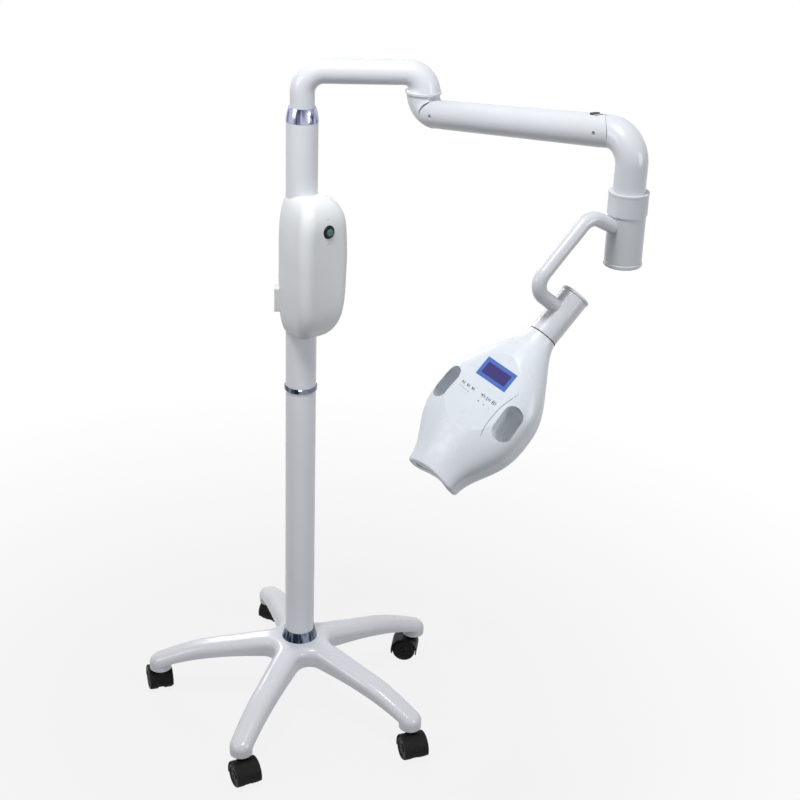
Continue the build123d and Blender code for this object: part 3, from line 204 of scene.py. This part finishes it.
enamel("base_enamel", (0.70, 0.715, 0.77), 0.30)
enamel("column_enamel", (0.77, 0.795, 0.85), 0.34)
# arm_enamel and neck_enamel are darker copies of the column's enamel, painted shade on the arm and on the
# gooseneck
enamel("arm_enamel", (0.61, 0.635, 0.68), 0.34)
enamel("neck_enamel", (0.70, 0.725, 0.775), 0.34)
moulding("moulded_white", (0.61, 0.635, 0.68), 0.38)
moulding("head_white", (0.68, 0.725, 0.78), 0.30, fine_grain, coat=0.10)
moulding("box_white", (0.83, 0.855, 0.88), 0.40)
moulding("inlet_white", (0.72, 0.74, 0.76), 0.42)
# Painted reflections: each chrome runs between a dark and a bright colour, and cap_chrome is a lighter copy
# of the collar chrome, painted light on the top collar
chrome("collar_chrome", (0.012, 0.018, 0.035), (0.20, 0.23, 0.31))
chrome("cap_chrome", (0.05, 0.06, 0.12), (0.46, 0.49, 0.66))
dark_plastic("hood_black", (0.010, 0.010, 0.0095), 0.50, (0.022, 0.022, 0.021))
dark_plastic("wheel_black", (0.008, 0.008, 0.008), 0.44, (0.024, 0.023, 0.022))
metal("steel", (0.55, 0.56, 0.58), 0.3)
moulding("bush_nylon", (0.6, 0.6, 0.56), 0.5)
dark_plastic("switch_black", (0.012, 0.016, 0.018), 0.22, (0.03, 0.03, 0.03), smooth_scale, fine_grain)
clear("button_green", (0.07, 0.19, 0.19), 0.25, 0.1)
dark_plastic("cap_navy", (0.010, 0.011, 0.030), 0.35, (0.03, 0.03, 0.05), smooth_scale, fine_grain)
dark_plastic("inlet_black", (0.02, 0.02, 0.022), 0.42, (0.05, 0.05, 0.05))
clear("screen_blue", (0.055, 0.15, 0.52), 0.16, 0.0)
moulding("key_white", (0.77, 0.81, 0.87), 0.34, fine_grain)
clear("light_smoke", (0.12, 0.13, 0.17), 0.2, 0.1)
clear("lens_clear", (0.62, 0.76, 0.93), 0.22, 0.55)
dark_plastic("board_green", (0.02, 0.14, 0.06), 0.35, (0.06, 0.22, 0.1))
metal("sink_aluminium", (0.7, 0.71, 0.72), 0.35)
dark_plastic("core_steel", (0.06, 0.06, 0.065), 0.4, (0.12, 0.12, 0.12))
dark_plastic("washer_dark", (0.13, 0.09, 0.12), 0.5, (0.2, 0.16, 0.18))
dark_plastic("mark_grey", (0.05, 0.055, 0.08), 0.5, (0.08, 0.09, 0.12))
# Painted shade: the grey of the crease beside the right finger hole
moulding("crease_shade_grey", (0.27, 0.31, 0.37), 0.5)
dark_plastic("mark_pale", (0.42, 0.45, 0.50), 0.5, (0.48, 0.5, 0.55))
clear("screen_dark", (0.035, 0.025, 0.17), 0.10, 0.0)

# The CAD nodes whose finish isn't the one that their slot is named after: darker copies of the enamel give
# painted shade to the gooseneck, its elbows, the yokes and the end elbow, and the lighter cap_chrome gives
# painted light to the top collar
light_and_shade_finish = {
    "top_collar": "cap_chrome",
    "gooseneck_pipe": "neck_enamel",
    "upper_elbow": "neck_enamel",
    "lower_elbow": "neck_enamel",
    "near_yoke": "arm_enamel",
    "far_yoke": "arm_enamel",
    "end_elbow": "arm_enamel",
}
for node, slot in slot_of.items():
    piece = frame["nodes"][node]
    piece.data.materials.clear()
    piece.data.materials.append(materials[light_and_shade_finish.get(node, slot)])


# The camera: its place, heading, pitch, roll, and focal length in pixels

view_from = Vector((0, -2.87584, 2.03747))
view_heading = math.radians(3.9)
view_pitch = math.radians(24.81)
view_lean = math.radians(1.93)
view_length = 1604.63
picture_size = 800


def view_turn():
    """The turn of the camera."""
    flat = math.cos(view_pitch)
    ahead = Vector((math.sin(view_heading) * flat, math.cos(view_heading) * flat, -math.sin(view_pitch)))
    right = Vector((math.cos(view_heading), -math.sin(view_heading), 0))
    up = right.cross(ahead)
    leaned_right = right * math.cos(view_lean) + up * math.sin(view_lean)
    leaned_up = up * math.cos(view_lean) - right * math.sin(view_lean)
    return Matrix((leaned_right, leaned_up, -ahead)).transposed()


def line_through(u, v):
    """The way from the camera through a point of the picture."""
    middle = picture_size / 2
    return (view_turn() @ Vector((u - middle, middle - v, -view_length))).normalized()


def stage_camera():
    """The camera with its lens."""
    data = bpy.data.cameras.new("camera")
    data.sensor_width = 36.0
    data.lens = data.sensor_width * view_length / picture_size
    camera = add_object("camera", data)
    camera.matrix_world = Matrix.Translation(view_from) @ view_turn().to_4x4()
    bpy.context.scene.camera = camera


# How pieces are made: sizes are in millimetres, and a place function turns them into the frame

def finish_piece(name, mesh, slot, body):
    """Makes a piece from a mesh and puts it on its body.

    slot is the material that the piece shows.
    """
    piece = add_object(name, mesh)
    mesh.materials.clear()
    mesh.materials.append(materials[slot])
    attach(piece, body)


def finish_form(name, form, slot, body):
    """Makes a piece from a form that is being edited."""
    bmesh.ops.recalc_face_normals(form, faces=form.faces)
    mesh = bpy.data.meshes.new(name)
    form.to_mesh(mesh)
    form.free()
    finish_piece(name, mesh, slot, body)


def slab(name, outline, low, high, place, slot, body, bevel=0.0):
    """A thin plate from an outline, from one height to another, its top edge bevelled where asked."""
    form = bmesh.new()
    bottom = [form.verts.new(place(x, y, low)) for x, y in outline]
    top = [form.verts.new(place(x, y, high)) for x, y in outline]
    form.faces.new(list(reversed(bottom)))
    roof = form.faces.new(top)
    count = len(outline)
    for number in range(count):
        after = (number + 1) % count
        form.faces.new((bottom[number], bottom[after], top[after], top[number]))
    if bevel:
        bmesh.ops.bevel(form, geom=list(roof.edges), offset=bevel / 1000, segments=2, affect="EDGES")
    finish_form(name, form, slot, body)


def ring(name, profile, centre, out, slot, body, turns=56):
    """A ring turned round a line from a closed profile of (radius, height) points."""
    across = out.orthogonal().normalized()
    second = out.cross(across)
    form = bmesh.new()
    rows = []
    for number in range(turns):
        angle = 2 * math.pi * number / turns
        away = across * math.cos(angle) + second * math.sin(angle)
        points = [centre + (away * radius + out * height) / 1000 for radius, height in profile]
        rows.append([form.verts.new(point) for point in points])
    for number, row in enumerate(rows):
        after = rows[(number + 1) % turns]
        for place in range(len(profile)):
            following = (place + 1) % len(profile)
            face = form.faces.new((row[place], row[following], after[following], after[place]))
            face.smooth = True
    finish_form(name, form, slot, body)


def stroke(start, end, width, rounds=5):
    """The outline of a straight stroke with round ends."""
    along = Vector((end[0] - start[0], end[1] - start[1])).normalized()
    across = Vector((-along.y, along.x))
    outline = []
    for centre, turn in ((end, -90), (start, 90)):
        for step in range(rounds + 1):
            angle = math.radians(turn + 180 * step / rounds)
            offset = along * math.cos(angle) + across * math.sin(angle)
            outline.append((centre[0] + offset.x * width / 2, centre[1] + offset.y * width / 2))
    return outline


def surface_on(node, start, way):
    """Where a line meets a CAD node, and the way the surface faces there."""
    hit, place, facing, _ = frame["nodes"][node].ray_cast(start, way)
    if not hit:
        raise RuntimeError(f"nothing met on {node}")
    return place, facing


# The head's own axes: s along it, t across it, n out of the panel

roll = joints["head_roll"]
head_origin = Vector(roll["pos_m"])
head_s = Vector(roll["axis"]).normalized()
head_n = -Vector(joints["key_press_1"]["axis"]).normalized()
head_t = head_n.cross(head_s)


def on_head(s, t, n):
    """A point of the head from its own coordinates."""
    return head_origin + (head_s * s + head_t * t + head_n * n) / 1000


panel = 41.2                    # the panel's height over the head's axis
print_sink = 0.01
print_depth = 0.06


def printed(name, outline, slot, body="head", base=panel):
    """A printed mark on the panel, or on what stands over it."""
    slab(name, outline, base - print_sink, base + print_depth, on_head, slot, body)


# The display: a dark window inside the blue frame

window_place = 103.0
window_length = 21.2
window_width = 50.0
window_sink = 0.05
window_proud = 0.12
window_bevel = 0.05
window_start, window_end = window_place - window_length / 2, window_place + window_length / 2
window_left, window_right = -window_width / 2, window_width / 2
window = [(window_start, window_left), (window_end, window_left),
          (window_end, window_right), (window_start, window_right)]
slab("screen_window", window, panel - window_sink, panel + window_proud, on_head,
     "screen_dark", "head", window_bevel)

# Marks under the lights and under the keys: each small one has its place, width and length

line_mark = ((151.5, -41.5), (152.5, -20.0), 1.1)
small_marks = [
    (155.5, 4.5, 1.8, 1.2, "mark_grey"),
    (156.0, 16.5, 1.1, 2.6, "mark_grey"),
    (156.5, 28.5, 0.9, 3.2, "mark_pale"),
]
printed("mark_line", stroke(*line_mark), "mark_pale")
for number, (s, t, width, length, slot) in enumerate(small_marks):
    printed(f"mark_small_{number + 1}", stroke((s, t - length / 2), (s, t + length / 2), width), slot)

# Signs on the keys: abstract strokes from a key's middle, each with its start, end and width

key_line = 144.0                # the keys and the lights stand in this line across the head
key_first = 4.0
key_pitch = 12.0
key_proud = 0.6
sign_size = 1.25
sign_weight = 1.15
key_signs = [
    [((-1.4, -1.8), (0.6, 0.2), 1.1), ((0.6, 0.2), (-1.4, 1.9), 1.1)],
    [((-1.6, -1.2), (1.6, -1.2), 1.1), ((0.0, 1.3), (0.2, 1.5), 1.6)],
    [((-1.7, -0.9), (1.7, -0.9), 1.1), ((-1.4, 1.2), (1.4, 1.6), 1.1)],
]


def in_line(point, middle, size=1.0):
    """A point that is given from a key's or a light's middle."""
    return key_line + point[0] * size, middle + point[1] * size


for key, strokes in enumerate(key_signs):
    middle = key_first + key_pitch * key
    for number, (start, end, width) in enumerate(strokes):
        ends = [in_line(point, middle, sign_size) for point in (start, end)]
        outline = stroke(*ends, width * sign_size * sign_weight)
        printed(f"key_sign_{key + 1}_{number + 1}", outline, "mark_grey", f"key_{key + 1}", panel + key_proud)

# Small marks beside each of the three lights and three keys: two strokes from its middle

light_first = -40.0
light_pitch = 10.8
row_count = 3
light_strokes = [((-2.0, 3.1), (1.2, 3.4), 1.3), ((2.3, 3.4), (2.6, 5.2), 1.1)]
key_strokes = [((-1.4, 4.9), (0.8, 5.3), 1.3), ((1.8, 4.6), (2.1, 6.2), 1.1)]
side_marks = {
    "light": (light_first, light_pitch, light_strokes),
    "key": (key_first, key_pitch, key_strokes),
}
for number in range(row_count):
    for group, (first, pitch, strokes) in side_marks.items():
        middle = first + pitch * number
        for part, (start, end, width) in enumerate(strokes):
            outline = stroke(in_line(start, middle), in_line(end, middle), width)
            slot = "mark_grey" if part == 0 else "mark_pale"
            printed(f"mark_{group}_{number + 1}_{part + 1}", outline, slot)


# The switch on the front of the power box: its dark flange and its ON and OFF marks

box_out = -Vector(joints["button_press"]["axis"]).normalized()
button_low, button_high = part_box("power_button")
button_middle = (Vector(button_low) + Vector(button_high)) / 2
upward = Vector((0, 0, 1))
look_distance = 100.0           # the cover is looked at from this far in front of the switch
flange_seat = 12.5              # from the switch's middle to where the flange meets the cover
flange_profile = [
    (10.7, -0.8), (10.7, 1.8), (11.2, 2.2), (11.9, 2.1), (12.6, 1.6), (12.9, 0.8), (13.0, -0.8),
]
word_height = 5.0
word_offset = 23.5              # from the switch's middle
word_half_depth = 0.04
word_lift = 0.03


def on_cover(place):
    """The point of the front cover in line with a place, and the way the cover faces there."""
    return surface_on("box_front_cover", place + box_out * look_distance / 1000, -box_out)


def word(name, text, centre):
    """A small printed word on the front cover."""
    curve = bpy.data.curves.new(name, "FONT")
    curve.body = text
    curve.size = word_height / 1000
    curve.extrude = word_half_depth / 1000
    curve.align_x = "CENTER"
    curve.align_y = "CENTER"
    temporary = bpy.data.objects.new(name + "_curve", curve)
    mesh = bpy.data.meshes.new_from_object(temporary)
    bpy.data.objects.remove(temporary)
    place, facing = on_cover(centre)
    up = (upward - facing * facing.z).normalized()
    turn = Matrix((up.cross(facing), up, facing)).transposed().to_4x4()
    mesh.transform(Matrix.Translation(place + facing * word_lift / 1000) @ turn)
    mesh.name = name
    finish_piece(name, mesh, "mark_pale", "stand")


seat, _ = on_cover(button_middle + upward * flange_seat / 1000)
flange_middle = button_middle + box_out * (seat - button_middle).dot(box_out)
ring("switch_flange", flange_profile, flange_middle, box_out, "switch_black", "stand")
word("switch_on", "ON", button_middle + upward * word_offset / 1000)
word("switch_off", "OFF", button_middle - upward * word_offset / 1000)


# The thin crease beside the right finger hole, laid on the shell along points of the picture: a grey line of
# painted shade, where the groove is in shade

crease_points = [(519, 394), (509, 401), (500, 408), (491, 418), (484, 428), (480, 437)]
crease_width = 1.7
crease_foot = 1.3               # the foot and the crest, as shares of the width
crease_crest = 0.6
crease_lift = 0.08
crease_sink = 0.05
taper_end = 0.2                 # the width at the ends, as a share of the full width
taper_run = 6                   # how fast the width grows from there along the crease


def smooth_line(points, steps=6):
    """Points along a smooth curve through the points given."""
    line = []
    for number in range(len(points) - 1):
        before, first = points[max(number - 1, 0)], points[number]
        second, after = points[number + 1], points[min(number + 2, len(points) - 1)]
        for step in range(steps):
            t = step / steps
            line.append(tuple(
                0.5 * (2 * b + (c - a) * t + (2 * a - 5 * b + 4 * c - d) * t ** 2
                       + (3 * b - a - 3 * c + d) * t ** 3)
                for a, b, c, d in zip(before, first, second, after)
            ))
    line.append(points[-1])
    return line


def lay_crease(name, node, slot, body):
    """The crease: a thin line of painted shade with four sides that narrows to its ends."""
    places = [surface_on(node, view_from, line_through(u, v)) for u, v in smooth_line(crease_points)]
    last = len(places) - 1
    form = bmesh.new()
    rows = []
    for number, (point, facing) in enumerate(places):
        ahead = places[min(number + 1, last)][0] - places[max(number - 1, 0)][0]
        share = number / last
        taper = min(1, taper_run * share + taper_end, taper_run * (1 - share) + taper_end)
        half = facing.cross(ahead).normalized() * taper * crease_width / 2 / 1000
        lift = facing * crease_lift / 1000
        sink = facing * -crease_sink / 1000
        offsets = (half * crease_foot + sink, half * crease_crest + lift,
                   half * -crease_crest + lift, half * -crease_foot + sink)
        rows.append([form.verts.new(point + offset) for offset in offsets])
    for row, after in zip(rows, rows[1:]):
        for side in range(len(row)):
            form.faces.new((row[side - 1], row[side], after[side], after[side - 1]))
    form.faces.new(rows[0])
    form.faces.new(list(reversed(rows[-1])))
    finish_form(name, form, slot, body)


lay_crease("head_crease", "head_front_shell", "crease_shade_grey", "head")


# The dark floor of the mains socket

inlet = next(mount for mount in record["mounts"] if mount["name"] == "power_inlet")
socket_mouth = Vector(inlet["pos_m"])
socket_recess = 10.5
socket_half_width = 8.3
socket_half_height = 11.8
socket_corner_width = 5.2       # where the two cut corners begin
socket_corner_height = 8.4
socket_sink = 0.02
socket_proud = 0.3
socket_bevel = 0.1
socket_outline = [
    (-socket_half_width, -socket_half_height),
    (socket_half_width, -socket_half_height),
    (socket_half_width, socket_corner_height),
    (socket_corner_width, socket_half_height),
    (-socket_corner_width, socket_half_height),
    (-socket_half_width, socket_corner_height),
]


def in_socket(y, z, height):
    """A point over the socket's floor, which lies behind the mouth along x."""
    return socket_mouth + Vector((socket_recess - height, y, z)) / 1000


slab("socket_floor", socket_outline, -socket_sink, socket_proud, in_socket,
     "inlet_black", "stand", socket_bevel)


# The dark cap over the plug on top of the arm's far end

arm_end = Vector(joints["drop_level"]["pos_m"])
arm_way = (arm_end - Vector(joints["arm_tilt"]["pos_m"])).normalized()
arm_side = Vector(joints["arm_tilt"]["axis"]).normalized()
arm_up = arm_side.cross(arm_way)
arm_radius = 27.5
cap_place = -19.5               # from the far pivot
cap_radius = 8.5
cap_points = 40
cap_sink = 1.5
cap_proud = 1.0
cap_bevel = 0.6


def arm_top(x, y, z):
    """A point over the far pivot: x along the arm, y across it, z from the arm's top."""
    return arm_end + (arm_way * x + arm_side * y + arm_up * (arm_radius + z)) / 1000


cap_turns = [2 * math.pi * number / cap_points for number in range(cap_points)]
cap_outline = [(cap_place + cap_radius * math.cos(turn), cap_radius * math.sin(turn)) for turn in cap_turns]
slab("plug_cap", cap_outline, -cap_sink, cap_proud, arm_top, "cap_navy", "arm", cap_bevel)


# Floor, world and lights, in metres

white = (1, 1, 1, 1)
floor_half = 40.0
floor_colour = (0.28, 0.285, 0.29, 1)
shadow_near = 0.5               # the floor fades to white between these distances from the column
shadow_far = 1.6
shadow_white = 0.86             # how white the floor is nearer than that
world_fill = 0.26               # how strongly the world lights the object


def seen_directly(nodes, links):
    """1 for the rays of the camera, of reflections and of clear pieces, 0 for the rest."""
    path = nodes.new("ShaderNodeLightPath")
    seen = path.outputs["Is Camera Ray"]
    for kind in ("Is Glossy Ray", "Is Transmission Ray"):
        either = nodes.new("ShaderNodeMath")
        either.operation = "MAXIMUM"
        links.new(seen, either.inputs[0])
        links.new(path.outputs[kind], either.inputs[1])
        seen = either.outputs[0]
    return seen


def stage_floor():
    """A pale floor that fades to the white of the world away from the stand."""
    mesh = bpy.data.meshes.new("floor")
    corners = [(-floor_half, -floor_half, 0), (floor_half, -floor_half, 0),
               (floor_half, floor_half, 0), (-floor_half, floor_half, 0)]
    mesh.from_pydata(corners, [], [(0, 1, 2, 3)])
    floor = add_object("floor", mesh)
    material = bpy.data.materials.new("floor")
    nodes, links = empty_nodes(material)
    output = nodes.new("ShaderNodeOutputMaterial")
    diffuse = nodes.new("ShaderNodeBsdfDiffuse")
    diffuse.inputs["Color"].default_value = floor_colour
    glow = nodes.new("ShaderNodeEmission")
    glow.inputs["Color"].default_value = white
    glow.inputs["Strength"].default_value = 1.0
    place = nodes.new("ShaderNodeTexCoord")
    length = nodes.new("ShaderNodeVectorMath")
    length.operation = "LENGTH"
    links.new(place.outputs["Object"], length.inputs[0])
    far = map_range(nodes, links, length.outputs["Value"], shadow_near, shadow_far, shadow_white, 1.0)
    amount = nodes.new("ShaderNodeMath")
    amount.operation = "MULTIPLY"
    links.new(seen_directly(nodes, links), amount.inputs[0])
    links.new(far, amount.inputs[1])
    mix = nodes.new("ShaderNodeMixShader")
    links.new(amount.outputs[0], mix.inputs["Fac"])
    links.new(diffuse.outputs[0], mix.inputs[1])
    links.new(glow.outputs[0], mix.inputs[2])
    links.new(mix.outputs[0], output.inputs["Surface"])
    mesh.materials.append(material)


def stage_world():
    """White for what the camera sees, and a soft even fill for the rest."""
    world = bpy.data.worlds.new("world")
    bpy.context.scene.world = world
    nodes, links = empty_nodes(world)
    output = nodes.new("ShaderNodeOutputWorld")
    background = nodes.new("ShaderNodeBackground")
    background.inputs["Color"].default_value = white
    strength = map_range(nodes, links, seen_directly(nodes, links), 0.0, 1.0, world_fill, 1.0)
    links.new(strength, background.inputs["Strength"])
    links.new(background.outputs[0], output.inputs["Surface"])


def lamp(name, place, target, size, power):
    """A soft square lamp turned to a point."""
    light = bpy.data.lights.new(name, "AREA")
    light.shape = "SQUARE"
    light.size = size
    light.energy = power
    holder = add_object(name, light)
    holder.location = place
    holder.rotation_euler = (Vector(target) - Vector(place)).to_track_quat("-Z", "Y").to_euler()


stage_floor()
stage_world()
lamp("key", place=(-0.15, -0.82, 2.7), target=(0.1, -0.1, 1.0), size=0.45, power=26)
lamp("left", place=(-2.1, -1.2, 1.9), target=(0.0, -0.1, 1.0), size=0.9, power=14)
lamp("right", place=(2.2, -1.6, 1.5), target=(0.2, -0.2, 0.9), size=1.0, power=17)
lamp("back", place=(-0.9, 2.5, 2.0), target=(0.1, -0.1, 0.9), size=1.0, power=21)
stage_camera()
bpy.context.scene.view_settings.view_transform = "Standard"
